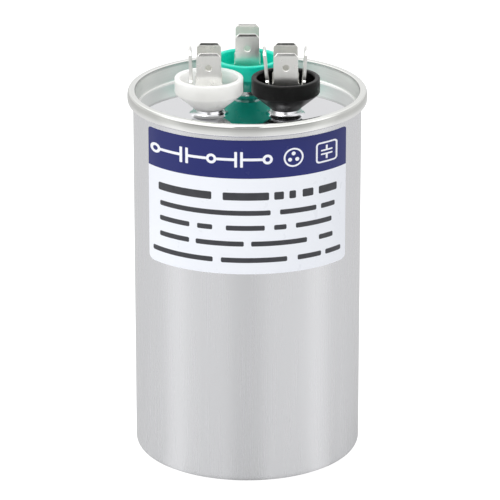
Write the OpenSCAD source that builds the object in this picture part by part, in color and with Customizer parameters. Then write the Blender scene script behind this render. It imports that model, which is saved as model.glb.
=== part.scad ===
// Dual motor run capacitor: a drawn aluminium can closed by a double-seamed
// tinplate cover, three insulated terminals with 6.35 mm quick-connect blades,
// and a two-section wound film element inside.
// Millimetres, +Z up, origin at the centre of the can's base.

/* [Can] */
// Outside diameter of the can body
can_d = 60; // [50:0.5:65]
// Height from the base to the top of the double seam
rim_h = 99.5; // [80:0.5:130]
// Wall thickness of the can
can_t = 0.35; // [0.3:0.05:0.6]
// Thickness of the can's base
base_t = 0.8; // [0.6:0.1:1.5]
// Outside corner radius round the base
base_r = 2; // [1.2:0.1:3]

/* [Double seam] */
// Outside diameter of the double seam
seam_d = 63; // [62.8:0.1:63.6]
// Height of the double seam
seam_h = 3.3; // [3.1:0.1:4]
// Sheet thickness of the cover
cover_t = 0.22; // [0.2:0.01:0.28]
// Depth of the cover's floor below the seam top
recess = 4.9; // [4.5:0.1:5.6]

/* [Terminals] */
// Distance between neighbouring terminals (equilateral triangle)
pitch = 20; // [19:0.5:22]
// Outside diameter of an insulating cup
cup_d = 17.9; // [16:0.1:18.5]
// Wall thickness of a cup at its rim
cup_w = 1.4; // [1:0.1:1.8]
// Height of the cup rim above the base
cup_top = 104.5; // [104:0.1:106]
// Height of the cup's straight band
cup_band = 4.2; // [3.5:0.1:5]
// Radius of the cup's foot
foot_r = 4; // [3.6:0.1:4.2]
// Height of the raised boss under each cup
boss_h = 1.3; // [1.1:0.1:1.6]
// Radius where a boss flares into the cover's floor
boss_r = 5.1; // [4.8:0.1:5.6]

/* [Blades] */
// Width of a quick-connect blade
blade_w = 6.35; // [4.75:0.05:6.35]
// Thickness of a blade
blade_t = 0.8; // [0.5:0.05:0.8]
// Height of the blade tips above the base
tip_z = 112.4; // [111:0.1:115]
// Distance from the terminal axis to a blade's outer face at its foot
blade_off = 4.9; // [4.6:0.1:5.1]
// Distance of the detent hole below the tip
hole_down = 4; // [3.5:0.1:4.5]
// Diameter of the detent hole
hole_d = 1.75; // [1.4:0.05:2]
// Width of the blade's shouldered foot
shoulder_w = 7; // [6.6:0.1:7.2]

/* [Label] */
// Thickness of the sticker
label_t = 0.12; // [0.08:0.01:0.2]
// Lower edge of the sticker
label_z0 = 58.5; // [50:0.1:70]
// Upper edge of the sticker
label_z1 = 95.1; // [80:0.1:95.4]
// Half the sticker's width, measured straight across
label_half = 25.5; // [20:0.1:28]

/* [Winding] */
// Outside radius of the wound element
wind_r = 26; // [24:0.1:26]
// Radius at which the inner section ends
split_r = 14.1; // [10:0.1:18]
// Width of the film
film_w = 74; // [60:1:74]
// Outside radius of the core tube
core_r = 4.5; // [4.2:0.1:6]

/* [Hidden] */
$fn = 96;
can_r = can_d / 2;
seam_r = seam_d / 2;
can_in = can_r - can_t;
floor_z = rim_h - recess;                 // top of the cover's floor
under_z = floor_z - cover_t;              // underside of the cover's floor
tri_r = pitch / sqrt(3);                  // terminals' distance from the axis
P_FAN = [-pitch / 2, -tri_r / 2];         // white cup
P_COM = [pitch / 2, -tri_r / 2];          // black cup
P_HERM = [0, tri_r];                      // green cup
gasket_t = 0.2;
boss_top = floor_z + boss_h;
foot_z = boss_top + gasket_t;             // underside of a cup
cup_r = cup_d / 2;
cup_in = cup_r - cup_w;
band_z = cup_top - cup_band;
seat_z = 99.3;                            // where a clip sits in its cup
shank_r = 1.6;                            // rivet shank
spig_r = 2.5;                             // cup's spigot through the cover
lug_t = 0.6;
bush_t = 1.6;
lug_z = under_z - bush_t - lug_t;         // underside of a lug
spray_t = 0.8;
wind_z = 6.8;                             // underside of the film
wind_top = wind_z + film_w;
plate_z = 88.4;                           // underside of the interrupter plate
plate_t = 1.6;
wire_r = 0.9;

// ---------------------------------------------------------------- helpers

// A flat ring lying on the plane z
module ring(r1, r0, z, h) {
  translate([0, 0, z]) rotate_extrude() translate([r0, 0]) square([r1 - r0, h]);
}

// Half of a 2D ring: the bend of a folded sheet, upper or lower half
module bend2d(ro, ri, up = true) {
  intersection() {
    difference() { circle(ro); circle(ri); }
    translate([-ro, up ? 0 : -ro]) square([2 * ro, ro]);
  }
}

// A 2D rectangle with true round corners, radii at the bottom and the top
module round_rect(x0, z0, x1, z1, rb, rt) {
  union() {
    translate([x0 + rb, z0]) square([x1 - x0 - 2 * rb, z1 - z0 - rt]);
    translate([x0, z0 + rb]) square([x1 - x0, z1 - z0 - rb - rt]);
    translate([x0 + rt, z1 - rt - 0.01]) square([x1 - x0 - 2 * rt, rt + 0.01]);
    for (s = [x0 + rb, x1 - rb]) translate([s, z0 + rb]) circle(rb);
    for (s = [x0 + rt, x1 - rt]) translate([s, z1 - rt]) circle(rt);
  }
}

// Places its children at the three terminals
module at(p) { translate([p[0], p[1], 0]) children(); }

// ---------------------------------------------------------------- the can

// radial places of the folded sheets in the double seam
hook_r0 = can_r + cover_t + 0.1;          // inside of the can's hook
hook_r1 = hook_r0 + can_t;                // outside of the can's hook
fold_c = (can_in + hook_r1) / 2;          // centre of the can's top fold
fold_o = (hook_r1 - can_in) / 2;
fold_i = (hook_r0 - can_r) / 2;
fold_z = rim_h - cover_t - fold_o - 0.08;
hook_z = rim_h - 2.3;                     // end of the can's hook
wall_z = rim_h - seam_h - 0.2;            // where the plain wall ends, under the seam
curl_c = (can_r + seam_r) / 2;            // centre of the cover's lower curl
curl_o = (seam_r - can_r) / 2;
curl_z = rim_h - seam_h + curl_o;

module can_body() {
  ci = base_r - base_t;                   // inner corner radius
  color([0.75, 0.76, 0.78]) rotate_extrude() union() {
    // base with its rounded corner
    difference() {
      union() {
        square([can_r - base_r, base_r + 1]);
        translate([can_r - base_r - 0.01, base_r]) square([base_r + 0.01, 1]);
        translate([can_r - base_r, base_r]) intersection() {
          circle(base_r);
          translate([-0.01, -base_r]) square([base_r + 0.01, base_r + 0.01]);
        }
      }
      translate([-1, base_t]) square([can_in - ci + 1, base_r + 2]);
      translate([0, base_t + ci]) square([can_in, base_r + 2]);
      translate([can_in - ci, base_t + ci]) circle(ci);
    }
    // wall, pinched slightly between chuck and roller inside the seam
    polygon([[can_in, base_r + 0.9], [can_r, base_r + 0.9], [can_r, wall_z],
             [can_r - 0.04, (wall_z + fold_z) / 2], [can_r, fold_z], [can_in, fold_z]]);
    // fold over the cover's hook
    translate([fold_c, fold_z]) bend2d(fold_o, fold_i, true);
    translate([hook_r0, hook_z]) square([can_t, fold_z - hook_z]);
  }
}

// ---------------------------------------------------------------- the cover

chuck_r = can_in - cover_t;               // inside of the recessed wall at its top
chuck_b = chuck_r - 0.25;                 // and at its bottom: the wall tapers
corner_o = 0.8;                           // outer and inner corners of the rim
corner_i = 0.45;

module cover_profile() {
  difference() {
    union() {
      // floor, with a round corner into the wall
      translate([0, under_z]) square([chuck_b - 0.5, cover_t]);
      translate([chuck_b - 0.5, floor_z + 0.5]) intersection() {
        difference() { circle(0.5 + cover_t); circle(0.5); }
        translate([0, -2]) square([2, 2]);
      }
      // recessed wall
      polygon([[chuck_b, floor_z + 0.5], [chuck_b + cover_t, floor_z + 0.5],
               [chuck_r + cover_t, rim_h - 1.5], [chuck_r + cover_t, rim_h - corner_i],
               [chuck_r, rim_h - corner_i], [chuck_r, rim_h - 1.5]]);
      // over the top
      translate([chuck_r + corner_i, rim_h - cover_t])
        square([seam_r - chuck_r - corner_i - corner_o, cover_t]);
      translate([chuck_r + corner_i, rim_h - corner_i]) intersection() {
        difference() { circle(corner_i); circle(corner_i - cover_t); }
        translate([-2, 0]) square([2, 2]);
      }
      translate([seam_r - corner_o, rim_h - corner_o]) intersection() {
        difference() { circle(corner_o); circle(corner_o - cover_t); }
        square([2, 2]);
      }
      // down the outside, round the lower curl and up as the cover's hook
      translate([seam_r - cover_t, curl_z]) square([cover_t, rim_h - corner_o - curl_z]);
      translate([curl_c, curl_z]) bend2d(curl_o, curl_o - cover_t, false);
      translate([can_r, curl_z]) square([cover_t, 1.45]);
    }
  }
}

// The hollow boss pressed up under one terminal: it flares out of the floor,
// and a lip on its top surrounds the gasket and carries the cup's foot
module boss(shell) {
  if (shell)
    rotate_extrude() polygon([[0, under_z], [boss_r, under_z], [boss_r, floor_z],
      [foot_r + 0.52, floor_z + 0.36], [foot_r + 0.22, floor_z + 0.8],
      [foot_r, foot_z], [foot_r - 0.4, foot_z], [foot_r - 0.4, boss_top], [0, boss_top]]);
  else
    rotate_extrude() polygon([[0, under_z - 1], [boss_r - cover_t, under_z - 1],
      [boss_r - cover_t, under_z], [foot_r + 0.52 - cover_t, floor_z + 0.12],
      [foot_r + 0.22 - cover_t, floor_z + 0.6], [foot_r - cover_t, boss_top - cover_t],
      [0, boss_top - cover_t]]);
}

module cover_sheet() {
  color([0.82, 0.82, 0.8]) difference() {
    union() {
      rotate_extrude() cover_profile();
      for (p = [P_FAN, P_COM, P_HERM]) at(p) boss(true);
    }
    for (p = [P_FAN, P_COM, P_HERM]) at(p) {
      boss(false);
      translate([0, 0, under_z]) cylinder(r = spig_r + 0.1, h = 5);
    }
  }
}

// Sealing compound between the can's hook and the cover's outer wall
module seam_compound() {
  color([0.35, 0.36, 0.34])
    ring(seam_r - cover_t, hook_r1, hook_z, fold_z - hook_z);
}

// ---------------------------------------------------------------- the label

module label() {
  color([0.9, 0.9, 0.93]) intersection() {
    ring(can_r + label_t, can_r, label_z0 - 1, label_z1 - label_z0 + 2);
    rotate([90, 0, 0]) linear_extrude(can_r + 2)
      round_rect(-label_half, label_z0, label_half, label_z1, 1.3, 0.8);
  }
}

// ---------------------------------------------------------------- terminals

// Insulating cup: straight band, cone, foot and a spigot through the cover
module cup(c) {
  color(c) rotate_extrude() difference() {
    union() {
      polygon([[0, foot_z], [foot_r, foot_z], [foot_r + 0.12, foot_z + 0.2],
               [cup_r - 0.25, band_z - 0.1], [cup_r, band_z + 0.2],
               [cup_r, cup_top - 0.35], [0, cup_top - 0.35]]);
      // rounded rim
      translate([cup_r - 0.35, cup_top - 0.35]) circle(0.35);
      translate([cup_in + 0.3, cup_top - 0.4]) square([cup_w - 0.65, 0.4]);
      translate([0, foot_z - 1.3]) square([spig_r, 1.31]);
    }
    polygon([[0, seat_z], [6.5, seat_z], [cup_in, band_z + 0.6],
             [cup_in, cup_top - 0.3], [cup_in + 0.3, cup_top], [cup_in + 0.3, cup_top + 1],
             [0, cup_top + 1]]);
    translate([0, foot_z - 2]) square([shank_r + 0.05, 20]);
  }
}

// One blade bent up from the clip's base, leaning out by lean degrees
module blade(lean) {
  ro = 1.2; ri = ro - blade_t;
  // centre of the bend, in the plane of the blade's side
  cx = blade_off - ro; cz = seat_z + ro;
  len = (tip_z - cz) / cos(lean);
  intersection() {
    // side profile: base strip, bend, leg with its double-bevelled tip
    rotate([90, 0, 0]) translate([0, 0, -5]) linear_extrude(10) union() {
      translate([2, seat_z]) square([cx - 2, blade_t]);
      translate([cx, cz]) intersection() {
        difference() { circle(ro); circle(ri); }
        polygon([[0, 0], [0, -3], [3, -3], [4 * cos(lean), -4 * sin(lean)]]);
      }
      translate([cx, cz]) rotate(-lean)
        polygon([[ri, -0.01], [ro, -0.01], [ro, len - 0.8], [ro - 0.25, len],
                 [ri + 0.25, len], [ri, len - 0.8]]);
    }
    // front outline: shouldered foot, chamfered tip corners, detent hole
    translate([cx, 0, cz]) rotate([0, lean, 0]) rotate([90, 0, 90])
      translate([0, 0, -6]) linear_extrude(12) difference() {
        polygon([[-shoulder_w / 2, -3], [shoulder_w / 2, -3],
          [shoulder_w / 2, len - 8.3], [blade_w / 2, len - 7.8],
          [blade_w / 2, len - 1.1], [blade_w / 2 - 1, len],
          [-blade_w / 2 + 1, len], [-blade_w / 2, len - 1.1],
          [-blade_w / 2, len - 7.8], [-shoulder_w / 2, len - 8.3]]);
        translate([0, len - hole_down]) circle(d = hole_d);
      }
  }
}

// Clip: one pressed strip with a blade at each angle in leans ([angle, lean])
module clip(leans) {
  color([0.8, 0.8, 0.77]) difference() {
    union() {
      translate([0, 0, seat_z]) cylinder(r = 3.6, h = blade_t);
      for (l = leans) rotate([0, 0, l[0]]) blade(l[1]);
    }
    translate([0, 0, seat_z - 1]) cylinder(r = shank_r, h = 3);
  }
}

// Rivet: domed head in the cup, shank, and the closed end under the lug
module rivet() {
  top = seat_z + blade_t;
  color([0.7, 0.7, 0.68]) rotate_extrude() intersection() {
    union() {
      translate([0, lug_z - 0.9]) square([2.5, 0.9]);
      translate([0, lug_z - 0.5]) square([shank_r, top - lug_z + 0.6]);
      translate([0, top]) square([2.7, 1]);
    }
    union() {
      translate([0, top - 3.4]) circle(4.4);
      square([5, top]);
    }
    translate([0, lug_z - 0.9]) polygon([[0, 0], [2, 0], [2.5, 0.4], [4, 0.4], [4, 20], [0, 20]]);
  }
}

// Rubber gasket between a cup's foot and the boss
module gasket() {
  color([0.15, 0.15, 0.15]) ring(foot_r - 0.4, spig_r, boss_top, gasket_t);
}

// Insulating bush under the cover, rising into the hollow boss
module bush() {
  z0 = under_z - bush_t;
  color([0.45, 0.28, 0.15]) difference() {
    union() {
      translate([0, 0, z0]) cylinder(r = 6.4, h = bush_t);
      translate([0, 0, under_z - 0.1]) cylinder(r = 3.1, h = boss_top - cover_t - under_z + 0.1);
    }
    translate([0, 0, z0 - 1]) cylinder(r = shank_r, h = 6);
    translate([0, 0, foot_z - 1.4]) cylinder(r = spig_r + 0.05, h = 3);
  }
}

// Solder lug: an eye round the rivet and a tail bent down through the plate
module lug(a, reach) {
  color([0.8, 0.65, 0.3]) rotate([0, 0, a]) difference() {
    union() {
      translate([0, 0, lug_z]) cylinder(r = 3.2, h = lug_t);
      translate([0, -1.5, lug_z]) cube([reach, 3, lug_t]);
      translate([reach, 1.5, lug_z - 0.4]) rotate([90, 0, 0]) linear_extrude(3) intersection() {
        difference() { circle(0.4 + lug_t); circle(0.4); }
        square([2, 2]);
      }
      translate([reach + 0.4, -1.5, plate_z - 1.6]) cube([lug_t, 3, lug_z - 0.4 - plate_z + 1.6]);
    }
    translate([0, 0, lug_z - 1]) cylinder(r = shank_r, h = 3);
  }
}

// Terminal lugs: direction of each tail and its length
A_FAN = 60; A_COM = 120; A_HERM = 90;
L_FAN = 4.2; L_COM = 4.2; L_HERM = 20.5 - tri_r - 0.7;
// where each tail ends, seen from above
T_FAN = P_FAN + (L_FAN + 0.7) * [cos(A_FAN), sin(A_FAN)];
T_COM = P_COM + (L_COM + 0.7) * [cos(A_COM), sin(A_COM)];
T_HERM = P_HERM + (L_HERM + 0.7) * [cos(A_HERM), sin(A_HERM)];

// ---------------------------------------------------------------- inside

// Stiff plate the lugs pass through; the lid lifts off it if pressure builds
module interrupter_plate() {
  color([0.55, 0.35, 0.2]) difference() {
    union() {
      translate([0, 0, plate_z]) cylinder(r = 28.6, h = plate_t);
      ring(28.6, 26.9, plate_z + plate_t - 0.1, under_z - plate_z - plate_t + 0.1);
    }
    lug_slots(plate_z - 1, 4);
    for (a = [0:60:300]) rotate([0, 0, a]) translate([20, 0, plate_z - 1]) cylinder(r = 2, h = 4);
    // the rim lets oil through
    for (a = [0:90:270]) rotate([0, 0, a]) translate([26, -2, plate_z + plate_t]) cube([4, 4, 1.5]);
  }
}

module lug_slots(z, h) {
  at(P_FAN) rotate([0, 0, A_FAN]) translate([L_FAN, -1.9, z]) cube([1.5, 3.8, h]);
  at(P_COM) rotate([0, 0, A_COM]) translate([L_COM, -1.9, z]) cube([1.5, 3.8, h]);
  at(P_HERM) rotate([0, 0, A_HERM]) translate([L_HERM, -1.9, z]) cube([1.5, 3.8, h]);
}

// Moulded cap that centres the winding and carries the plate on its posts
module top_spacer() {
  z1 = wind_top + spray_t;                // stands on the outer spray
  color([0.88, 0.88, 0.84]) difference() {
    union() {
      ring(27.8, 16, z1 + 2, 1.4);
      ring(27.8, 26.6, z1 - 5, 8.4);
      ring(25.4, 24, z1, 2.1);
      for (a = [45:90:315]) rotate([0, 0, a]) translate([24.2, 0, z1 + 3.3])
        cylinder(r = 2.2, h = plate_z - z1 - 3.3);
    }
    // passage for the outer section's lead and for oil
    for (a = [0:90:270]) rotate([0, 0, a]) translate([20.5, 0, z1 + 1]) cylinder(r = 2.6, h = 4);
  }
}

// Core tube that the film is wound on
module core_tube() {
  color([0.9, 0.88, 0.8]) ring(core_r, core_r - 1.4, wind_z - spray_t, film_w + 2 * spray_t);
}

module inner_winding() { color([0.72, 0.72, 0.76]) ring(split_r, core_r, wind_z, film_w); }
module section_wrap() { color([0.3, 0.45, 0.7]) ring(split_r + 0.4, split_r, wind_z, film_w + 1.4); }
module outer_winding() { color([0.76, 0.76, 0.8]) ring(wind_r, split_r + 0.4, wind_z, film_w); }
module outer_wrap() { color([0.2, 0.35, 0.6]) ring(wind_r + 0.4, wind_r, wind_z - 0.6, film_w + 1.2); }

// Sprayed zinc contacts on the winding's ends
module inner_spray() { color([0.6, 0.61, 0.63]) ring(split_r - 0.4, core_r, wind_top, spray_t); }
module outer_spray() { color([0.6, 0.61, 0.63]) ring(wind_r - 0.2, split_r + 0.8, wind_top, spray_t); }
module bottom_spray() { color([0.6, 0.61, 0.63]) ring(wind_r - 0.2, core_r, wind_z - spray_t, spray_t); }

// Moulded cup under the winding: floor, wall, ring ledge and ribs
module bottom_cup() {
  z0 = base_t; zs = wind_z - spray_t; r = can_in - 0.4;
  color([0.88, 0.88, 0.84]) union() {
    rotate_extrude() polygon([[0, z0], [r - 0.9, z0], [r, z0 + 1.4], [r, z0 + 12.6],
      [r - 1.1, z0 + 12.6], [r - 1.1, z0 + 1.2], [0, z0 + 1.2]]);
    ring(24, 22.5, z0 + 0.2, zs - z0 - 0.2);
    for (a = [22.5:45:337.5]) rotate([0, 0, a])
      translate([11, -0.6, z0 + 0.2]) cube([12.2, 1.2, zs - z0 - 0.5]);
  }
}

// ---------------------------------------------------------------- leads

// Quarter bend of wire in the X-Z plane, centre at the origin, from +X to +Z
module wire_bend(r) {
  rotate([90, 0, 0]) rotate_extrude(angle = 90) translate([r, 0]) circle(wire_r);
}

// Wire from the origin: down from z0 to z1, sideways by d, then down to z2
module wire_s(z0, z1, d, z2, r) {
  translate([0, 0, z1 + r]) cylinder(r = wire_r, h = z0 - z1 - r);
  translate([r, 0, z1 + r]) rotate([0, 180, 0]) wire_bend(r);
  translate([r, 0, z1]) rotate([0, 90, 0]) cylinder(r = wire_r, h = d - 2 * r);
  translate([d - r, 0, z1 - r]) wire_bend(r);
  translate([d, 0, z2]) cylinder(r = wire_r, h = z1 - r - z2);
}

tail_z = plate_z - 1.6;                   // lower end of the lugs' tails

// From the fan lug out to the inner section's upper contact
module lead_fan() {
  color([0.9, 0.9, 0.88]) at(T_FAN) rotate([0, 0, atan2(T_FAN[1], T_FAN[0])]) union()
    wire_s(tail_z, tail_z - 2.4, 3, wind_top + spray_t, 1.3);
}

// From the common lug into the core tube and down it to the strap
module lead_common() {
  color([0.12, 0.12, 0.12]) at(T_COM) rotate([0, 0, atan2(-T_COM[1], -T_COM[0])]) union()
    wire_s(tail_z, tail_z - 2.4, norm(T_COM), wind_z - spray_t, 1.6);
}

// Tinned strap soldered across the lower contact, under the core tube
module common_strap() {
  color([0.78, 0.78, 0.76]) translate([-7.5, -1.6, wind_z - spray_t - 0.5]) cube([15, 3.2, 0.5]);
}

// From the herm lug straight down to the outer section's upper contact
module lead_herm() {
  color([0, 0.6, 0.4]) at(T_HERM)
    translate([0, 0, wind_top + spray_t]) cylinder(r = wire_r, h = tail_z - wind_top - spray_t);
}

can_body();  // can
cover_sheet();  // cover
seam_compound();
label();
at(P_FAN) cup([0.93, 0.93, 0.91]);  // cup_fan
at(P_COM) cup([0.1, 0.1, 0.1]);  // cup_common
at(P_HERM) cup([0, 0.7, 0.55]);  // cup_herm
at(P_FAN) clip([[180, 2], [270, 1], [90, 1.2]]);  // clip_fan
at(P_COM) clip([[180, 5.5], [0, 3.9], [270, 1], [90, 1.2]]);  // clip_common
at(P_HERM) clip([[270, 1], [90, 1.5]]);  // clip_herm
at(P_FAN) rivet();  // rivet_fan
at(P_COM) rivet();  // rivet_common
at(P_HERM) rivet();  // rivet_herm
at(P_FAN) gasket();  // gasket_fan
at(P_COM) gasket();  // gasket_common
at(P_HERM) gasket();  // gasket_herm
at(P_FAN) bush();  // bush_fan
at(P_COM) bush();  // bush_common
at(P_HERM) bush();  // bush_herm
at(P_FAN) lug(A_FAN, L_FAN);  // lug_fan
at(P_COM) lug(A_COM, L_COM);  // lug_common
at(P_HERM) lug(A_HERM, L_HERM);  // lug_herm
interrupter_plate();
top_spacer();
lead_fan();
lead_common();
lead_herm();
core_tube();
inner_winding();
section_wrap();
outer_winding();
outer_wrap();
inner_spray();
outer_spray();
bottom_spray();
common_strap();
bottom_cup();
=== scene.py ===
import math

import bmesh
import bpy
from mathutils import Matrix, Vector


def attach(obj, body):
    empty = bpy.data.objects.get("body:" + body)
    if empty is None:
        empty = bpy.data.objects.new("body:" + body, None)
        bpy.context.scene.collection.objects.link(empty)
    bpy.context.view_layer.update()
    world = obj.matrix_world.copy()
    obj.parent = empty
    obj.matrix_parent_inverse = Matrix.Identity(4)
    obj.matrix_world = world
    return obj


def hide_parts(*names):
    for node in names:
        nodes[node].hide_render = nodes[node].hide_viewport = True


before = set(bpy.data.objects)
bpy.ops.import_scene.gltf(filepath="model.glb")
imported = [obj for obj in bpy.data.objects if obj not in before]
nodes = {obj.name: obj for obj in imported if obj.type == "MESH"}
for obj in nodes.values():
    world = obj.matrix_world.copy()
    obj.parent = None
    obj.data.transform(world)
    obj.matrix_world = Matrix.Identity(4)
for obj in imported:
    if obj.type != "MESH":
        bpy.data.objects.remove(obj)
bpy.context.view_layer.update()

scene = bpy.context.scene
MM = 0.001

# Terminal axes, in mm: white (fan), black (common) and green (herm)
TRI = 20.0 / math.sqrt(3.0)
P_FAN, P_COM, P_HERM = (-10.0, -TRI / 2), (10.0, -TRI / 2), (0.0, TRI)

# ------------------------------------------------------------------ camera

cam = bpy.data.cameras.new("camera")
cam.sensor_width = 36.0
cam.lens = 3717.3 * 36.0 / 500.0
cam.clip_start, cam.clip_end = 0.05, 20.0
cam_o = bpy.data.objects.new("camera", cam)
cam_o.location = (0.00071, -0.9301, 0.3941)
cam_o.rotation_euler = (math.radians(90.0 - 20.063), 0.0, 0.0)
scene.collection.objects.link(cam_o)
scene.camera = cam_o

# ------------------------------------------------------------------ material helpers


class Mat:
    """A node material with a Principled shader and short helpers."""

    def __init__(self, name, **values):
        self.m = bpy.data.materials.new(name)
        self.m.use_nodes = True
        self.t = self.m.node_tree
        self.t.nodes.clear()
        self.out = self.t.nodes.new("ShaderNodeOutputMaterial")
        self.b = self.t.nodes.new("ShaderNodeBsdfPrincipled")
        self.t.links.new(self.b.outputs[0], self.out.inputs[0])
        for k, v in values.items():
            self.b.inputs[k.replace("_", " ")].default_value = v

    def node(self, kind, **props):
        n = self.t.nodes.new(kind)
        for k, v in props.items():
            setattr(n, k, v)
        return n

    def link(self, a, b):
        self.t.links.new(a, b)

    def coords(self, scale=(1, 1, 1), shift=(0, 0, 0)):
        c = self.node("ShaderNodeTexCoord")
        mp = self.node("ShaderNodeMapping")
        mp.inputs["Scale"].default_value = scale
        mp.inputs["Location"].default_value = shift
        self.link(c.outputs["Object"], mp.inputs["Vector"])
        return mp.outputs["Vector"]

    def xyz(self):
        c = self.node("ShaderNodeTexCoord")
        s = self.node("ShaderNodeSeparateXYZ")
        self.link(c.outputs["Object"], s.inputs[0])
        return s.outputs

    def math(self, op, a, b=None, c=None):
        n = self.node("ShaderNodeMath", operation=op)
        for i, v in enumerate((a, b, c)):
            if v is None:
                continue
            if isinstance(v, (int, float)):
                n.inputs[i].default_value = v
            else:
                self.link(v, n.inputs[i])
        return n.outputs[0]

    def noise(self, scale, stretch=(1, 1, 1), detail=3.0, rough=0.5, vector=None):
        n = self.node("ShaderNodeTexNoise")
        n.inputs["Scale"].default_value = scale
        n.inputs["Detail"].default_value = detail
        n.inputs["Roughness"].default_value = rough
        self.link(vector or self.coords(stretch), n.inputs["Vector"])
        return n.outputs["Fac"]

    def polar(self, radius=0.03, stretch_z=1.0):
        """(arc length, radius, z) in metres: marks that follow a turned body."""
        x, y, z = self.xyz()
        ang = self.math("ARCTAN2", x, self.math("MULTIPLY", y, -1.0))
        arc = self.math("MULTIPLY", ang, radius)
        rad = self.math("SQRT", self.math("ADD", self.math("MULTIPLY", x, x), self.math("MULTIPLY", y, y)))
        zz = self.math("MULTIPLY", z, stretch_z)
        v = self.node("ShaderNodeCombineXYZ")
        self.link(arc, v.inputs[0])
        self.link(rad, v.inputs[1])
        self.link(zz, v.inputs[2])
        return v.outputs[0]

    def ramp(self, fac, lo, hi, a, b):
        """Maps fac from lo..hi to a colour or value between a and b."""
        r = self.node("ShaderNodeValToRGB")
        r.color_ramp.elements[0].position = lo
        r.color_ramp.elements[1].position = hi
        if not isinstance(a, tuple):
            a, b = (a, a, a), (b, b, b)
        r.color_ramp.elements[0].color = (*a, 1)
        r.color_ramp.elements[1].color = (*b, 1)
        self.link(fac, r.inputs["Fac"])
        return r.outputs["Color"]

    def set(self, socket, source):
        self.link(source, self.b.inputs[socket])

    def bump(self, source, strength, distance):
        n = self.node("ShaderNodeBump")
        n.inputs["Strength"].default_value = strength
        n.inputs["Distance"].default_value = distance
        self.link(source, n.inputs["Height"])
        self.link(n.outputs["Normal"], self.b.inputs["Normal"])
        return n


def srgb(r, g, b):
    f = lambda c: c / 12.92 if c <= 0.04045 else ((c + 0.055) / 1.055) ** 2.4
    return tuple(f(c / 255.0) for c in (r, g, b))


def scaled(c, k):
    return tuple(min(1.0, x * k) for x in c)


def paint(node, mat):
    o = nodes[node]
    o.data.materials.clear()
    o.data.materials.append(mat.m)


# ------------------------------------------------------------------ mesh helpers


def rounded(pts, closed=False, step=11.0):
    """A polyline of (r, z[, radius]) with its corners rounded by true arcs."""
    n, out = len(pts), []
    for i, p in enumerate(pts):
        rad = p[2] if len(p) > 2 else 0.0
        if rad <= 0 or (not closed and i in (0, n - 1)):
            out.append((p[0], p[1]))
            continue
        a, b, c = (Vector(pts[(i - 1) % n][:2]), Vector(p[:2]), Vector(pts[(i + 1) % n][:2]))
        u, v = (a - b).normalized(), (c - b).normalized()
        ang = math.acos(max(-1.0, min(1.0, u.dot(v))))
        if ang > math.pi - 1e-4:
            out.append((p[0], p[1]))
            continue
        t = rad / math.tan(ang / 2)
        mid = (u + v).normalized()
        o = b + mid * (rad / math.sin(ang / 2))
        s, e = b + u * t, b + v * t
        sweep = math.pi - ang
        k = max(2, int(math.ceil(math.degrees(sweep) / step)))
        a0 = math.atan2(s.y - o.y, s.x - o.x)
        a1 = math.atan2(e.y - o.y, e.x - o.x)
        d = (a1 - a0 + math.pi) % (2 * math.pi) - math.pi
        for j in range(k + 1):
            w = a0 + d * j / k
            out.append((o.x + rad * math.cos(w), o.y + rad * math.sin(w)))
    keep = []
    for q in out:
        if not keep or (Vector(q) - Vector(keep[-1])).length > 1e-4:
            keep.append(q)
    if closed and (Vector(keep[0]) - Vector(keep[-1])).length < 1e-4:
        keep.pop()
    return keep


def lathe_into(bm, prof, seg, centre=(0.0, 0.0), closed=True, phase=0.0):
    """Turns a profile of (r, z) about a vertical axis, into bm."""
    cx, cy = centre
    rings = []
    for r, z in prof:
        if r < 1e-6:
            rings.append([bm.verts.new((cx * MM, cy * MM, z * MM))])
        else:
            rings.append([
                bm.verts.new((
                    (cx + r * math.cos(phase + 2 * math.pi * k / seg)) * MM,
                    (cy + r * math.sin(phase + 2 * math.pi * k / seg)) * MM,
                    z * MM,
                ))
                for k in range(seg)
            ])
    n = len(prof)
    for i in range(n if closed else n - 1):
        a, b = rings[i], rings[(i + 1) % n]
        if len(a) == 1 and len(b) == 1:
            continue
        for k in range(seg):
            l = (k + 1) % seg
            if len(a) == 1:
                bm.faces.new((a[0], b[k], b[l]))
            elif len(b) == 1:
                bm.faces.new((a[k], b[0], a[l]))
            else:
                bm.faces.new((a[k], b[k], b[l], a[l]))
    return rings


def finish_mesh(name, bm, mats, nodes_replaced=(), sharp=32.0, weld=0.0, weighted=True, recalc=True):
    if weld:
        bmesh.ops.remove_doubles(bm, verts=bm.verts, dist=weld)
    if recalc:
        bmesh.ops.recalc_face_normals(bm, faces=bm.faces)
    me = bpy.data.meshes.new(name)
    bm.to_mesh(me)
    bm.free()
    for p in me.polygons:
        p.use_smooth = True
    me.set_sharp_from_angle(angle=math.radians(sharp))
    for m in mats:
        me.materials.append(m.m)
    o = bpy.data.objects.new(name, me)
    scene.collection.objects.link(o)
    if weighted:
        w = o.modifiers.new("normals", "WEIGHTED_NORMAL")
        w.weight = 70
        w.keep_sharp = True
    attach(o, "root")
    if nodes_replaced:
        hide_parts(*nodes_replaced)
    return o


# ------------------------------------------------------------------ materials of the visible pieces

# Drawn aluminium: satin, with faint lengthwise draw marks
CAN = Mat("can_aluminium", Metallic=1.0)
v = CAN.polar(0.03, 0.015)
marks = CAN.noise(1500.0, detail=5.0, vector=v)
cloud = CAN.noise(40.0, (1, 1, 0.3), 2.0)
tone = CAN.math("ADD", CAN.math("MULTIPLY", marks, 0.5), CAN.math("MULTIPLY", cloud, 0.5))
CAN.set("Base Color", CAN.ramp(tone, 0.3, 0.7, (0.773, 0.776, 0.794), (0.799, 0.802, 0.820)))
CAN.set("Roughness", CAN.ramp(marks, 0.3, 0.7, 0.245, 0.285))
CAN.bump(marks, 0.03, 0.00002)

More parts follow.
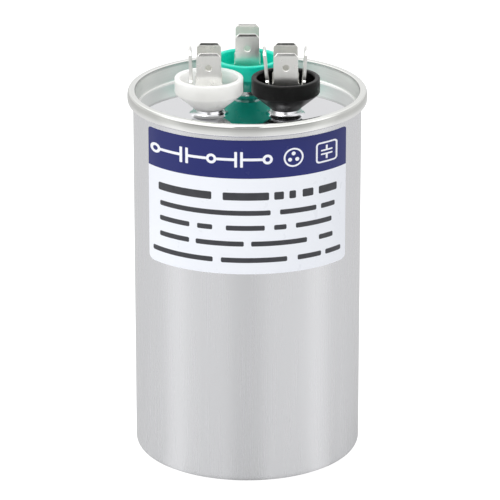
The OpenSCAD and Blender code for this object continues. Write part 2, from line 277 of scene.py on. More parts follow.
# Bright tinplate: the floor is a near mirror, the wall and the seam are burnished by the tooling; on the seam, painted
# light and shade are added below
COVER = Mat("cover_tinplate", Metallic=1.0)
cv = COVER.polar(0.03)
cs = COVER.node("ShaderNodeSeparateXYZ")
COVER.link(cv, cs.inputs[0])
rad, height = cs.outputs[1], cs.outputs[2]


def mask(mat, value, lo, hi):
    """0 below lo, 1 above hi (metres), clamped."""
    m = mat.math("MULTIPLY_ADD", value, 1 / (hi - lo), -lo / (hi - lo))
    return mat.math("MINIMUM", mat.math("MAXIMUM", m, 0.0), 1.0)


def blend(mat, factor, a, b, kind="FLOAT"):
    n = mat.node("ShaderNodeMix", data_type=kind)
    mat.link(factor, n.inputs["Factor"])
    i, j, k = (("A", "B", "Result") if kind == "FLOAT" else (6, 7, 2))
    for socket, v in ((n.inputs[i], a), (n.inputs[j], b)):
        if isinstance(v, (int, float)):
            socket.default_value = v
        else:
            mat.link(v, socket)
    return n.outputs[k]


edge = mask(COVER, rad, 0.0282, 0.0291)              # 0 on the floor, 1 on the wall and the seam
outer = mask(COVER, rad, 0.0294, 0.0297)             # 1 from the rim's crown outwards
face = mask(COVER, rad, 0.0309, 0.0312)              # 1 on the seam's outer face
turned = COVER.node("ShaderNodeCombineXYZ")
COVER.link(COVER.math("MULTIPLY", cs.outputs[0], 0.02), turned.inputs[0])
COVER.link(rad, turned.inputs[1])
COVER.link(height, turned.inputs[2])
lines = COVER.noise(4200.0, detail=4.0, vector=turned.outputs[0])
haze = COVER.noise(45.0, (1, 1, 1), 3.0)
tin = COVER.ramp(haze, 0.3, 0.7, (0.69, 0.692, 0.712), (0.72, 0.722, 0.74))
worked = COVER.ramp(lines, 0.3, 0.7, (0.735, 0.745, 0.72), (0.785, 0.79, 0.77))
col = blend(COVER, edge, tin, worked, "RGBA")
# painted light and shade: the lower half of the seam is painted brighter and the shoulder above it darker, standing in
# for the brighter and darker reflections there
# painted highlight: lighter colour on the seam's lower half
painted_sheen_band = COVER.ramp(lines, 0.3, 0.7, (0.96, 0.962, 0.95), (0.99, 0.99, 0.98))
low = COVER.math("MULTIPLY", face, COVER.math("SUBTRACT", 1.0, mask(COVER, height, 0.0967, 0.0979)))
col = blend(COVER, low, col, painted_sheen_band, "RGBA")
# painted shade: the seam's shoulder is painted darker
shoulder = COVER.math("MULTIPLY", face, mask(COVER, height, 0.0974, 0.0982))
shoulder_painted_shade = COVER.ramp(lines, 0.3, 0.7, (0.66, 0.665, 0.64), (0.71, 0.715, 0.69))
col = blend(COVER, shoulder, col, shoulder_painted_shade, "RGBA")
# painted reflection: a fine dark line painted where the wall turns over into the rim, standing in for a dark
# reflection there
gap = COVER.math("ABSOLUTE", COVER.math("SUBTRACT", rad, 0.02952))
line = COVER.math("MULTIPLY", COVER.math("SUBTRACT", 1.0, mask(COVER, gap, 0.00005, 0.00013)), mask(COVER, height, 0.0985, 0.0988))
col = blend(COVER, COVER.math("MULTIPLY", line, 0.75), col, COVER.ramp(lines, 0.3, 0.7, 0.20, 0.26), "RGBA")
COVER.link(col, COVER.b.inputs["Base Color"])
plain = COVER.math("MULTIPLY_ADD", COVER.noise(160.0, detail=4.0), 0.04, 0.03)
smear = COVER.math("MULTIPLY_ADD", lines, 0.05, 0.28)
crown = COVER.math("MULTIPLY_ADD", lines, 0.05, 0.06)
sides = COVER.math("MULTIPLY_ADD", lines, 0.05, 0.08)
neck = COVER.math("MULTIPLY_ADD", lines, 0.06, 0.20)    # the bosses' drawn necks are duller
plain = blend(COVER, mask(COVER, height, 0.0948, 0.0953), plain, neck)
rough = blend(COVER, edge, plain, smear)
rough = blend(COVER, outer, rough, crown)
rough = blend(COVER, face, rough, sides)
COVER.link(rough, COVER.b.inputs["Roughness"])
hgt = COVER.math("ADD", COVER.math("MULTIPLY", COVER.math("MULTIPLY", lines, edge), 0.35),
                 COVER.math("MULTIPLY", COVER.noise(60.0, detail=2.0), 0.65))
COVER.bump(hgt, 0.03, 0.0001)

# Moulded nylon in three colours
WHITE = Mat("white_nylon", IOR=1.3, Subsurface_Weight=1.0, Subsurface_Scale=0.010, Subsurface_Radius=(1.0, 1.0, 1.0))
WHITE.set("Base Color", WHITE.ramp(WHITE.noise(260.0), 0.3, 0.7, srgb(224, 224, 220), srgb(228, 228, 224)))
WHITE.set("Roughness", WHITE.ramp(WHITE.noise(500.0), 0.3, 0.7, 0.36, 0.44))
WHITE.bump(WHITE.noise(2600.0, detail=2.0), 0.05, 0.00003)

BLACK = Mat("black_nylon", IOR=1.26)
BLACK.set("Base Color", BLACK.ramp(BLACK.noise(260.0), 0.3, 0.7, (0.0035, 0.0035, 0.0035), (0.0055, 0.0055, 0.0055)))
BLACK.set("Roughness", BLACK.ramp(BLACK.noise(500.0), 0.3, 0.7, 0.30, 0.40))
BLACK.bump(BLACK.noise(2600.0, detail=2.0), 0.06, 0.00003)

GREEN = Mat("green_nylon", IOR=1.45)
GREEN.set("Base Color", GREEN.ramp(GREEN.noise(260.0), 0.3, 0.7, (0.0, 0.585, 0.42), (0.004, 0.64, 0.47)))
GREEN.set("Roughness", GREEN.ramp(GREEN.noise(500.0), 0.3, 0.7, 0.26, 0.34))
GREEN.bump(GREEN.noise(2600.0, detail=2.0), 0.04, 0.00003)

# Tin-plated brass: satin, with fine rolling marks along the strip
TAB = Mat("tab_plating", Metallic=1.0)
roll = TAB.noise(1800.0, (1, 1, 0.06), 3.0)
TAB.set("Base Color", TAB.ramp(roll, 0.3, 0.7, (0.90, 0.898, 0.868), (0.935, 0.932, 0.903)))
TAB.set("Roughness", TAB.ramp(TAB.noise(420.0, detail=4.0), 0.3, 0.7, 0.27, 0.33))
TAB.bump(TAB.noise(900.0, (1, 1, 0.25), 2.0), 0.06, 0.00003)

# the same plating, burnished where the tip is coined
TIP_MAT = Mat("tab_plating_coined", Metallic=1.0)
TIP_MAT.set("Base Color", TIP_MAT.ramp(TIP_MAT.noise(900.0), 0.3, 0.7, (0.80, 0.80, 0.78), (0.86, 0.86, 0.84)))
TIP_MAT.set("Roughness", TIP_MAT.ramp(TIP_MAT.noise(700.0), 0.3, 0.7, 0.10, 0.16))
TIP_MAT.bump(TIP_MAT.noise(1400.0), 0.12, 0.00003)

RIVET = Mat("rivet_tinned", Metallic=1.0)
RIVET.set("Base Color", RIVET.ramp(RIVET.noise(500.0), 0.3, 0.7, (0.72, 0.72, 0.70), (0.78, 0.78, 0.76)))
RIVET.set("Roughness", RIVET.ramp(RIVET.noise(900.0), 0.3, 0.7, 0.18, 0.28))
RIVET.bump(RIVET.noise(1500.0), 0.1, 0.00004)

# Film sticker and its inks
LABEL = Mat("label_film_white", IOR=1.5)
LABEL.set("Base Color", LABEL.ramp(LABEL.noise(60.0), 0.3, 0.7, srgb(228, 231, 238), srgb(232, 235, 241)))
LABEL.set("Roughness", LABEL.ramp(LABEL.noise(240.0), 0.3, 0.7, 0.27, 0.33))
LABEL.bump(LABEL.noise(140.0, detail=1.0), 0.02, 0.00005)

BAND = Mat("label_ink_blue", IOR=1.4)
BAND.set("Base Color", BAND.ramp(BAND.noise(60.0), 0.3, 0.7, (0.012, 0.018, 0.130), (0.016, 0.022, 0.142)))
BAND.set("Roughness", BAND.ramp(BAND.noise(240.0), 0.3, 0.7, 0.22, 0.28))
BAND.bump(BAND.noise(140.0, detail=1.0), 0.02, 0.00005)

INK = Mat("label_ink_dark", IOR=1.45)
INK.set("Base Color", INK.ramp(INK.noise(400.0), 0.3, 0.7, srgb(50, 51, 56), srgb(58, 59, 64)))
INK.set("Roughness", INK.ramp(INK.noise(240.0), 0.3, 0.7, 0.3, 0.38))
INK.bump(INK.noise(140.0, detail=1.0), 0.02, 0.00005)

MARK = Mat("label_ink_white", IOR=1.5)
MARK.set("Base Color", MARK.ramp(MARK.noise(400.0), 0.3, 0.7, srgb(230, 232, 240), srgb(236, 238, 244)))
MARK.set("Roughness", MARK.ramp(MARK.noise(240.0), 0.3, 0.7, 0.3, 0.38))
MARK.bump(MARK.noise(140.0, detail=1.0), 0.02, 0.00005)

# ------------------------------------------------------------------ the can

SEG = 288
prof = rounded([
    (0, 0), (30, 0, 2.0), (30, 96.0), (29.96, 97.35), (30.0, 98.6),
    (30.0, 98.85, 0.155), (30.32, 98.85, 0.155), (30.32, 97.2), (30.67, 97.2),
    (30.67, 99.2, 0.5), (29.65, 99.2, 0.5), (29.65, 0.8, 1.2), (0, 0.8),
], step=9.0)
bm = bmesh.new()
lathe_into(bm, prof, SEG)
can = finish_mesh("can_shell", bm, [CAN], ["can"])

# ------------------------------------------------------------------ the cover

RIM = 99.5
FLOOR, UNDER, SHEET = 94.6, 94.38, 0.22
FLAT_R = 27.6
WALL_B, WALL_T = 29.18, 29.43


def arc(cx, cz, r, d0, d1, n, rz=None):
    """Points of an arc from angle d0 to d1 in degrees (0 points outwards, 90 up)."""
    rz = r if rz is None else rz
    return [
        (cx + r * math.cos(math.radians(d0 + (d1 - d0) * i / n)),
         cz + rz * math.sin(math.radians(d0 + (d1 - d0) * i / n)))
        for i in range(n + 1)
    ]


def cover_section():
    """The folded section of the cover's edge, outer surface first, from floor to underside."""
    out = [(FLAT_R, FLOOR)]
    f = 0.75                                              # floor corner
    out += arc(WALL_B - f, FLOOR + f, f, -90, -4, 9)
    out += [(WALL_B + 0.06, 96.2), (WALL_B + 0.14, 97.2), (WALL_T - 0.02, 98.4)]
    out += arc(WALL_T + 0.45, 99.03, 0.45, 176, 94, 8)    # inner corner of the rim
    out += [(29.98, 99.492), (30.12, 99.5), (30.36, 99.5), (30.5, 99.494)]
    out += arc(30.836, 99.054, 0.446, 86, 30, 9)          # outer corner, tight above and easier below
    out += arc(29.836, 98.477, 1.6, 27, 13, 6)
    out += arc(26.46, 97.82, 5.04, 11, -2, 8)             # slightly crowned side
    out += arc(30.73, 97.02, 0.73, -5, -180, 15, rz=0.82)  # lower curl
    out += rounded([
        (30.0, 98.4), (30.22, 98.4), (30.22, 96.42, 0.5), (31.28, 96.42, 0.5),
        (31.28, 99.28, 0.58), (WALL_T + SHEET, 99.28, 0.23), (WALL_T + SHEET, 98.0),
        (WALL_B + SHEET, 95.4), (WALL_B + SHEET, UNDER, 0.8), (FLAT_R, UNDER),
    ], step=12.0)
    return out


BOSS_FOOT, BOSS_SEG = 5.45, 96
bm = bmesh.new()
sec = cover_section()
lathe_into(bm, sec, SEG, closed=False)

# boss: flares out of the floor; the lip on top carries the cup's foot round the gasket
boss = rounded([
    (BOSS_FOOT, FLOOR), (5.1, FLOOR, 0.14), (4.52, 94.96, 0.6), (4.22, 95.4, 0.35), (4.0, 96.1, 0.07),
    (3.62, 96.1, 0.04), (3.6, 95.9), (2.6, 95.9), (2.6, 95.68), (3.78, 95.68, 0.15), (4.0, 95.2, 0.3),
    (4.3, 94.72, 0.3), (4.88, UNDER, 0.1), (BOSS_FOOT, UNDER),
], step=7.0)
for p in (P_FAN, P_COM, P_HERM):
    lathe_into(bm, boss, BOSS_SEG, centre=p, closed=False)


def flat_with_holes(bm, z, r_out, seg, holes, hole_r, hole_seg):
    edges = []
    loops = [((0.0, 0.0), r_out, seg)] + [(h, hole_r, hole_seg) for h in holes]
    for c, r, n in loops:
        vs = [
            bm.verts.new(((c[0] + r * math.cos(2 * math.pi * k / n)) * MM,
                          (c[1] + r * math.sin(2 * math.pi * k / n)) * MM, z * MM))
            for k in range(n)
        ]
        edges += [bm.edges.new((vs[k], vs[(k + 1) % n])) for k in range(n)]
    bmesh.ops.triangle_fill(bm, edges=edges, use_beauty=True, use_dissolve=False, normal=(0, 0, 1))


for z in (FLOOR, UNDER):
    flat_with_holes(bm, z, FLAT_R, SEG, (P_FAN, P_COM, P_HERM), BOSS_FOOT, BOSS_SEG)
cover = finish_mesh("cover_shell", bm, [COVER], ["cover"], weld=2e-6)

# ------------------------------------------------------------------ cups

CUP = rounded([
    (2.5, 94.82, 0.15), (2.5, 96.1), (4.0, 96.1, 0.08), (4.12, 96.3, 0.2), (8.68, 100.18, 0.35),
    (8.95, 100.52, 0.3), (8.95, 104.5, 0.36), (7.85, 104.5, 0.12), (7.55, 104.15, 0.25),
    (7.55, 100.9, 0.9), (6.5, 99.3, 0.35), (1.66, 99.3), (1.66, 94.82),
], closed=True, step=10.0)


def cup(name, p, mat, node):
    bm = bmesh.new()
    lathe_into(bm, CUP, 192, centre=p)
    return finish_mesh(name, bm, [mat], [node], sharp=50)


cup("cup_fan_body", P_FAN, WHITE, "cup_fan")
cup("cup_common_body", P_COM, BLACK, "cup_common")
cup("cup_herm_body", P_HERM, GREEN, "cup_herm")

# ------------------------------------------------------------------ clips

SEAT, BT = 99.3, 0.8
RO, RI, CX = 1.2, 0.4, 3.7
CZ = SEAT + RO
TIP = 112.4


def blade_into(bm, p, azimuth, lean, depth=0.25):
    """One pressed blade: base strip, bend, shouldered leg, hole and double-bevelled tip."""
    L = math.radians(lean)
    length = (TIP - CZ) / math.cos(L)
    rot = Matrix.Rotation(math.radians(azimuth), 3, "Z")

    def place(s, w, t):
        """s along the strip from the bend's end (negative is before it), w across, t from the outer face inwards."""
        if s >= 0:  # straight leg
            x, z = CX + (RO - t) * math.cos(L) + s * math.sin(L), CZ - (RO - t) * math.sin(L) + s * math.cos(L)
        else:
            sweep = math.pi / 2 - L
            bend_len = sweep * (RO - BT / 2)
            if -s <= bend_len:
                a = L + sweep * (-s / bend_len)
                x, z = CX + (RO - t) * math.cos(a), CZ - (RO - t) * math.sin(a)
            else:
                x, z = CX - (-s - bend_len), CZ - (RO - t)
        q = rot @ Vector((x, w, z))
        return ((p[0] + q.x) * MM, (p[1] + q.y) * MM, q.z * MM)

    sweep = math.pi / 2 - L
    bend_len = sweep * (RO - BT / 2)
    top, sh0, sh1 = length, length - 8.3, length - 7.8
    hw, hs = 3.175, 3.5
    hz, hr, hn = length - 4.0, 0.875, 32
    tb = length - 0.7
    wb = hw - 1.0 * (0.4 / 1.1)

    faces_front, faces_back = {}, {}

    def vert(s, w, front):
        key = (round(s, 5), round(w, 5))
        store = faces_front if front else faces_back
        if key not in store:
            t = 0.0 if front else BT
            if s > tb:
                t += (depth if front else -depth) * (s - tb) / 0.7
            store[key] = bm.verts.new(place(s, w, t))
        return store[key]

    def both(poly, mat=0):
        for f in (bm.faces.new([vert(s, w, True) for s, w in poly]),
                  bm.faces.new([vert(s, w, False) for s, w in reversed(poly)])):
            f.material_index = mat

    # strip and bend, as rows of quads
    rows = [-bend_len - 1.7, -bend_len] + [-bend_len * (1 - k / 10) for k in range(1, 11)]
    cols = [-hs, -hs / 2, 0.0, hs / 2, hs]
    rows += [sh0]
    for a, b in zip(rows, rows[1:]):
        for c, d in zip(cols, cols[1:]):
            both([(a, c), (a, d), (b, d), (b, c)])
    # shoulder
    colt = [c * hw / hs for c in cols]
    for i in range(4):
        both([(sh0, cols[i]), (sh0, cols[i + 1]), (sh1, colt[i + 1]), (sh1, colt[i])])
    # straight part below the hole
    zh0, zh1 = hz - 1.6, hz + 1.6
    for i in range(4):
        both([(sh1, colt[i]), (sh1, colt[i + 1]), (zh0, colt[i + 1]), (zh0, colt[i])])
    # the two halves round the hole
    hole = [(hz + hr * math.sin(2 * math.pi * k / hn), hr * math.cos(2 * math.pi * k / hn)) for k in range(hn)]
    right = [hole[k % hn] for k in range(hn * 3 // 4, hn * 5 // 4 + 1)]  # from bottom through right to top
    left = [hole[k % hn] for k in range(hn // 4, hn * 3 // 4 + 1)]
    both([(zh0, 0.0), (zh0, colt[3]), (zh0, colt[4]), (zh1, colt[4]), (zh1, colt[3]), (zh1, 0.0)] + right[::-1])
    both([(zh1, 0.0), (zh1, colt[1]), (zh1, colt[0]), (zh0, colt[0]), (zh0, colt[1]), (zh0, 0.0)] + left[::-1])
    # above the hole to the chamfer, then the tip
    s2 = length - 1.1
    for i in range(4):
        both([(zh1, colt[i]), (zh1, colt[i + 1]), (s2, colt[i + 1]), (s2, colt[i])])
    colb = [-wb, colt[1], 0.0, colt[3], wb]
    for i in range(4):
        both([(s2, colt[i]), (s2, colt[i + 1]), (tb, colb[i + 1]), (tb, colb[i])])
    cole = [-(hw - 1.0), colt[1], 0.0, colt[3], hw - 1.0]
    for i in range(4):
        both([(tb, colb[i]), (tb, colb[i + 1]), (top, cole[i + 1]), (top, cole[i])], 1)

    # close the sides, the tip, the strip's start and the hole
    def side(path):
        for (s0, w0), (s1, w1) in zip(path, path[1:]):
            bm.faces.new([vert(s0, w0, True), vert(s1, w1, True), vert(s1, w1, False), vert(s0, w0, False)])

    rim_r = [(r, hs) for r in rows] + [(sh1, hw), (zh0, hw), (zh1, hw), (s2, hw), (tb, wb), (top, hw - 1.0)]
    side(rim_r)
    side([(s, -w) for s, w in rim_r])
    side([(top, w) for w in cole])
    side([(rows[0], w) for w in cols])
    side(hole + [hole[0]])


def clip(name, p, leans, node):
    obs = []
    bm = bmesh.new()
    for row in leans:
        blade_into(bm, p, *row)
    # base disc with the rivet's hole
    lathe_into(bm, rounded([(3.6, SEAT, 0.06), (3.6, SEAT + BT - 0.002, 0.1), (1.66, SEAT + BT - 0.002), (1.66, SEAT)],
                           closed=True), 96, centre=p)
    o = finish_mesh(name, bm, [TAB, TIP_MAT], [node], sharp=28, weighted=False)
    bv = o.modifiers.new("edges", "BEVEL")
    bv.width, bv.segments, bv.limit_method, bv.angle_limit = 0.08 * MM, 3, "ANGLE", math.radians(14)
    bv.harden_normals = True
    bv.use_clamp_overlap = True
    return o


clip("clip_fan_blades", P_FAN, [(180, 2.0), (270, 1.0, 0.28), (90, 1.2, 0.21)], "clip_fan")
clip("clip_common_blades", P_COM, [(180, 5.5), (0, 3.9), (270, 1.0, 0.28), (90, 1.2, 0.21)], "clip_common")
clip("clip_herm_blades", P_HERM, [(270, 1.0, 0.235), (90, 1.5, 0.14)], "clip_herm")

# ------------------------------------------------------------------ rivets

RIV = rounded([
    (0, 101.1), (0.9, 101.05), (1.7, 100.83), (2.7, 100.42, 0.18), (2.7, 100.1), (1.6, 100.1),
    (1.6, 92.18), (2.5, 92.18, 0.1), (2.5, 91.68, 0.2), (2.0, 91.28, 0.15), (0, 91.28),
], step=12.0)
for n, p in (("fan", P_FAN), ("common", P_COM), ("herm", P_HERM)):
    bm = bmesh.new()
    lathe_into(bm, RIV, 96, centre=p, closed=False)
    finish_mesh(f"rivet_{n}_head", bm, [RIVET], [f"rivet_{n}"])

# ------------------------------------------------------------------ label

Z0, Z1, ZB = 58.7, 95.1, 84.77
HALF, BOW = 25.5, 0.55


def wrap(x, z, r):
    """A point of the label's flat projection, laid on the can at radius r; the sticker is cut a little bowed."""
    y = -math.sqrt(max(0.0, 30.0 ** 2 - x * x)) * r / 30.0
    z -= BOW * (x / 25.0) ** 2
    return (x * r / 30.0 * MM, y * MM, z * MM)


def plate_into(bm, outline, r0, r1, inner=()):
    """A thin closed sheet on the can's wall from a 2D outline in (x, z), cut finely enough to follow it."""
    from mathutils.geometry import delaunay_2d_cdt

    def dense(poly):
        out = []
        for i, (a, b) in enumerate(zip(poly, poly[1:] + poly[:1])):
            k = max(1, int(math.ceil(abs(b[0] - a[0]) / 0.9)))
            out += [(a[0] + (b[0] - a[0]) * j / k, a[1] + (b[1] - a[1]) * j / k) for j in range(k)]
        return out

    loops = [dense(list(outline))] + [dense(list(h)) for h in inner]
    pts, edges = [], []
    for loop in loops:
        base = len(pts)
        pts += [Vector(q) for q in loop]
        edges += [(base + i, base + (i + 1) % len(loop)) for i in range(len(loop))]
    xs = [q.x for q in pts]
    zs = [q.y for q in pts]
    # columns of inner points keep every triangle close to the curved wall
    x0, x1, z0, z1 = min(xs), max(xs), min(zs), max(zs)
    nx = int((x1 - x0) / 0.9)

    def inside(x, z):
        hit = False
        for loop in loops:
            for (ax, az), (bx, bz) in zip(loop, loop[1:] + loop[:1]):
                if (az > z) != (bz > z) and x < ax + (z - az) / (bz - az) * (bx - ax):
                    hit = not hit
        return hit

    def clear(x, z):
        return all((q.x - x) ** 2 + (q.y - z) ** 2 > 0.09 for q in pts[:edge_count])

    edge_count = len(pts)
    if nx >= 1 and z1 - z0 > 0.9:
        nz = max(1, int((z1 - z0) / 2.4))
        for i in range(1, nx + 1):
            for j in range(0, nz + 1):
                x, z = x0 + (x1 - x0) * i / (nx + 1), z0 + (z1 - z0) * (j + 0.5) / (nz + 1)
                if inside(x, z) and clear(x, z):
                    pts.append(Vector((x, z)))
    v, e, f, *_ = delaunay_2d_cdt(pts, edges, [], 0, 1e-6)
    keep = []
    for tri in f:
        cx = sum(v[i].x for i in tri) / 3
        cz = sum(v[i].y for i in tri) / 3
        if inside(cx, cz):
            keep.append(tri)
    outer = [bm.verts.new(wrap(q.x, q.y, r1)) for q in v]
    innr = [bm.verts.new(wrap(q.x, q.y, r0)) for q in v]
    count = {}
    for tri in keep:
        bm.faces.new([outer[i] for i in tri])
        bm.faces.new([innr[i] for i in reversed(tri)])
        for a, b in zip(tri, tri[1:] + tri[:1]):
            count[(a, b)] = count.get((a, b), 0) + 1
    for a, b in count:
        if (b, a) not in count:
            bm.faces.new([outer[b], outer[a], innr[a], innr[b]])
    loose = [q for q in bm.verts if not q.link_faces]
    bmesh.ops.delete(bm, geom=loose, context="VERTS")


def round_box(x0, z0, x1, z1, rb, rt=None, n=6):
    rt = rb if rt is None else rt
    out = []
    for cx, cz, a0, r in (
        (x1 - rb, z0 + rb, -90, rb), (x1 - rt, z1 - rt, 0, rt),
        (x0 + rt, z1 - rt, 90, rt), (x0 + rb, z0 + rb, 180, rb),
    ):
        if r < 1e-6:
            out.append((cx, cz))
            continue
        out += [(cx + r * math.cos(math.radians(a0 + 90 * k / n)), cz + r * math.sin(math.radians(a0 + 90 * k / n)))
                for k in range(n + 1)]
    return out


bm = bmesh.new()
plate_into(bm, round_box(-HALF, Z0, HALF, Z1, 1.3, 0.8, 8), 30.003, 30.1)
finish_mesh("label_sheet", bm, [LABEL], ["label"], sharp=50, weighted=False)
bm = bmesh.new()
plate_into(bm, round_box(-HALF, ZB, HALF, Z1, 0.0, 0.8, 8), 30.1, 30.108)
finish_mesh("label_band", bm, [BAND], sharp=50, weighted=False)

# Print: rows of plain bars (z of the row's middle, bar height, spans in x)
ROWS = [
    (79.9, 2.1, [(-22.9, -9.2), (-6.3, 5.6), (6.9, 9.4), (10.8, 12.5), (14.2, 17.0), (18.4, 23.1)]),
    (75.4, 1.35, [(-22.5, 6.0), (8.4, 17.8), (19.0, 22.6)]),
    (71.3, 1.35, [(-22.6, -14.9), (-12.9, -9.0), (-5.5, 4.5), (6.9, 10.1), (12.5, 21.8)]),
    (67.0, 1.35, [(-22.6, -15.0), (-13.3, -0.9), (1.0, 15.4), (18.5, 22.1)]),
    (62.5, 1.35, [(-24.4, -8.9), (-6.8, 10.3), (13.0, 19.1), (20.2, 24.2)]),
]
bm = bmesh.new()
for z, h, spans in ROWS:
    for a, b in spans:
        plate_into(bm, round_box(a, z - h / 2, b, z + h / 2, min(0.35, h * 0.3), n=5), 30.1, 30.108)
finish_mesh("label_print_rows", bm, [INK], sharp=50, weighted=False)


def disc(cx, cz, r, n=32):
    return [(cx + r * math.cos(2 * math.pi * k / n), cz + r * math.sin(2 * math.pi * k / n)) for k in range(n)]


# On the band: a line drawing of two capacitors with a common terminal, a plan of the
# three terminals on the cover, and a blade seen from the front
bm = bmesh.new()
ZM, S = 89.9, 0.36
R0, R1 = 30.108, 30.114
for x0, x1 in ((-22.7, -17.35), (-15.15, -10.55), (-7.9, -3.3), (-1.1, 4.25)):
    plate_into(bm, round_box(x0, ZM - S, x1, ZM + S, 0.0), R0, R1)
for x in (-17.35, -15.85, -3.3, -1.8):
    plate_into(bm, round_box(x, ZM - 2.1, x + 0.7, ZM + 2.1, 0.15), R0, R1)
for x in (-23.65, -9.22, 5.2):
    plate_into(bm, disc(x, ZM, 1.32), R0, R1, inner=[disc(x, ZM, 0.62)])
plate_into(bm, disc(11.85, 89.9, 2.55, 48), R0, R1, inner=[disc(11.85, 89.9, 2.1, 48)])
for dx, dz in ((-0.92, -0.53), (0.92, -0.53), (0.0, 1.06)):
    plate_into(bm, disc(11.85 + dx, 89.9 + dz, 0.52, 20), R0, R1)
plate_into(bm, round_box(17.6, 87.1, 23.2, 92.7, 0.9, n=6), R0, R1, inner=[round_box(18.05, 87.55, 22.75, 92.25, 0.5, n=6)])
for z0, z1 in ((88.1, 89.45), (90.35, 91.7)):
    plate_into(bm, round_box(20.15, z0, 20.65, z1, 0.0), R0, R1)
for z0 in (89.2, 90.2):
    plate_into(bm, round_box(18.9, z0, 21.9, z0 + 0.42, 0.1, n=3), R0, R1)
finish_mesh("label_print_marks", bm, [MARK], sharp=50, weighted=False)

# ------------------------------------------------------------------ hidden pieces, carried over from model.glb

def stuff(name, a, b, rough, grain, stretch=(1, 1, 1), bump=0.15, depth=0.00005, vector=None, **values):
    """A carried-over piece's material: mottled colour, uneven roughness, fine relief."""
    m = Mat(name, **values)
    m.set("Base Color", m.ramp(m.noise(grain * 0.4, stretch, 3.0), 0.3, 0.7, a, b))
    m.set("Roughness", m.ramp(m.noise(grain * 0.7, stretch, 4.0), 0.3, 0.7, *rough))
    m.bump(m.noise(grain, stretch, 3.0), bump, depth)
    return m


RUBBER = stuff("gasket_rubber", (0.05, 0.05, 0.05), (0.08, 0.08, 0.08), (0.55, 0.7), 900.0)
PHENOLIC = stuff("phenolic_board", (0.17, 0.075, 0.025), (0.25, 0.115, 0.04), (0.42, 0.58), 500.0, (1, 1, 6), IOR=1.55)
BRASS = stuff("lug_brass", (0.62, 0.42, 0.13), (0.74, 0.52, 0.19), (0.24, 0.36), 900.0, (1, 0.1, 1), Metallic=1.0)
COMPOUND = stuff("seam_compound", (0.09, 0.10, 0.09), (0.13, 0.14, 0.125), (0.55, 0.75), 600.0)
SPACER = stuff("spacer_plastic", (0.56, 0.55, 0.49), (0.66, 0.65, 0.59), (0.38, 0.5), 350.0, bump=0.1, IOR=1.5)
CORE = stuff("core_plastic", (0.62, 0.61, 0.56), (0.70, 0.69, 0.64), (0.32, 0.44), 300.0, (1, 1, 0.1), IOR=1.5)
WIRE_W = stuff("wire_white", (0.66, 0.66, 0.63), (0.74, 0.74, 0.71), (0.34, 0.46), 700.0)
WIRE_K = stuff("wire_black", (0.012, 0.012, 0.012), (0.022, 0.022, 0.022), (0.34, 0.46), 700.0)
WIRE_G = stuff("wire_green", (0.01, 0.22, 0.10), (0.02, 0.29, 0.14), (0.34, 0.46), 700.0)
ZINC = stuff("zinc_spray", (0.30, 0.31, 0.33), (0.46, 0.47, 0.49), (0.55, 0.8), 1400.0, bump=0.6, depth=0.00015, Metallic=1.0)
COPPER = stuff("tinned_copper", (0.64, 0.63, 0.60), (0.76, 0.75, 0.72), (0.26, 0.4), 900.0, (1, 1, 0.1), Metallic=1.0)
WRAP = stuff("wrap_film", (0.012, 0.05, 0.24), (0.022, 0.08, 0.33), (0.16, 0.26), 260.0, (1, 1, 0.25), IOR=1.6)

# the wound film shows its turns as fine rings on the ends and as lengthways strain on the side
FILM = Mat("metallised_film", Metallic=1.0)
turns = FILM.node("ShaderNodeSeparateXYZ")
FILM.link(FILM.polar(0.02), turns.inputs[0])
ring = FILM.node("ShaderNodeCombineXYZ")
FILM.link(turns.outputs[1], ring.inputs[0])
FILM.link(FILM.math("MULTIPLY", turns.outputs[2], 0.05), ring.inputs[2])
turned = FILM.noise(3600.0, detail=3.0, vector=ring.outputs[0])
FILM.set("Base Color", FILM.ramp(turned, 0.3, 0.7, (0.50, 0.50, 0.54), (0.64, 0.64, 0.68)))
FILM.set("Roughness", FILM.ramp(FILM.noise(300.0, detail=3.0), 0.3, 0.7, 0.14, 0.26))
FILM.bump(turned, 0.2, 0.00004)

CARRIED = {
    "seam_compound": COMPOUND, "interrupter_plate": PHENOLIC, "top_spacer": SPACER, "bottom_cup": SPACER,
    "lead_fan": WIRE_W, "lead_common": WIRE_K, "lead_herm": WIRE_G, "core_tube": CORE,
    "inner_winding": FILM, "outer_winding": FILM, "section_wrap": WRAP, "outer_wrap": WRAP,
    "inner_spray": ZINC, "outer_spray": ZINC, "bottom_spray": ZINC, "common_strap": COPPER,
}
for end in ("fan", "common", "herm"):
    CARRIED["gasket_" + end] = RUBBER
    CARRIED["bush_" + end] = PHENOLIC
    CARRIED["lug_" + end] = BRASS
REPLACED = {"can", "cover", "label", "cup_fan", "cup_common", "cup_herm", "clip_fan", "clip_common", "clip_herm",
            "rivet_fan", "rivet_common", "rivet_herm"}
for n in nodes:
    if n not in REPLACED:
        paint(n, CARRIED[n])

# ------------------------------------------------------------------ studio: floor, world, lights

# Brightness of the floor round the object, by azimuth from the front (0) to the back (180)
AZ = [(0, .485), (8, .491), (24, .597), (40, .600), (55, .610), (62, .645), (70, .728), (77, .737), (86, .680),
      (97, .570), (114, .578), (130, .550), (157, .525), (180, .495)]


def az_ramp(tree, az_socket):
    r = tree.nodes.new("ShaderNodeValToRGB")
    r.color_ramp.interpolation = "EASE"
    els = r.color_ramp.elements
    while len(els) > 1:
        els.remove(els[-1])
    els[0].position, els[0].color = 0.0, (AZ[0][1] / 2,) * 3 + (1,)
    for a, val in AZ[1:]:
        e = els.new(a / 180.0)
        e.color = (val / 2,) * 3 + (1,)
    tree.links.new(az_socket, r.inputs["Fac"])
    return r.outputs["Color"]


def mnode(tree, op, a, b=None, c=None, clamp=False):
    n = tree.nodes.new("ShaderNodeMath")
    n.operation = op
    n.use_clamp = clamp
    for i, v in enumerate((a, b, c)):
        if v is None:
            continue
        if isinstance(v, (int, float)):
            n.inputs[i].default_value = v
        else:
            tree.links.new(v, n.inputs[i])
    return n.outputs[0]


